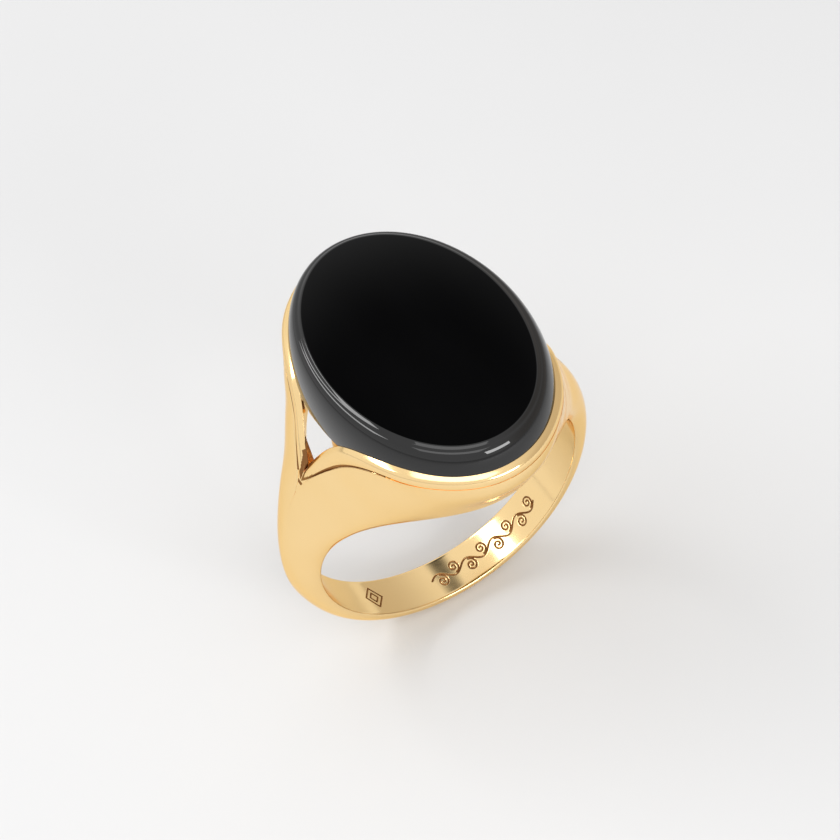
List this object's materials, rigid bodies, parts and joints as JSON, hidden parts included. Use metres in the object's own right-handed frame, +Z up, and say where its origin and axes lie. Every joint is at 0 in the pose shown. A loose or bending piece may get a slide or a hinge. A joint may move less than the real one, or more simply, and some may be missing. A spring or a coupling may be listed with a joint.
{
  "type": "signet ring",
  "caption": "Gold signet ring with a flat oval black stone, a domed hoop, shoulders that split into two bezel rails, and an open gallery under the stone.",
  "frame": {"origin": "centre of the finger hole, half way along the finger axis", "axes": "+Z up through the middle of the stone's table, Y along the finger axis, X from shoulder to shoulder"},
  "size_m": [0.0218, 0.0202, 0.0257],
  "materials": {
    "polished_gold": "high polish, 18 carat yellow gold",
    "gallery_gold": "polished, slightly duller inside the gallery",
    "onyx": "high polish, opaque black",
    "cement": "matt setting cement"
  },
  "bodies": {
    "root": {"shank": "polished_gold", "front_shoulder_arch": "polished_gold", "back_shoulder_arch": "polished_gold", "front_bezel_rail": "polished_gold", "back_bezel_rail": "polished_gold", "gallery_bar_front": "gallery_gold", "gallery_bar_middle": "gallery_gold", "gallery_bar_back": "gallery_gold", "support_post_right": "gallery_gold", "support_post_left": "gallery_gold", "stone_seat": "gallery_gold", "cement_bed": "cement", "onyx": "onyx"}
  },
  "joints": []
}
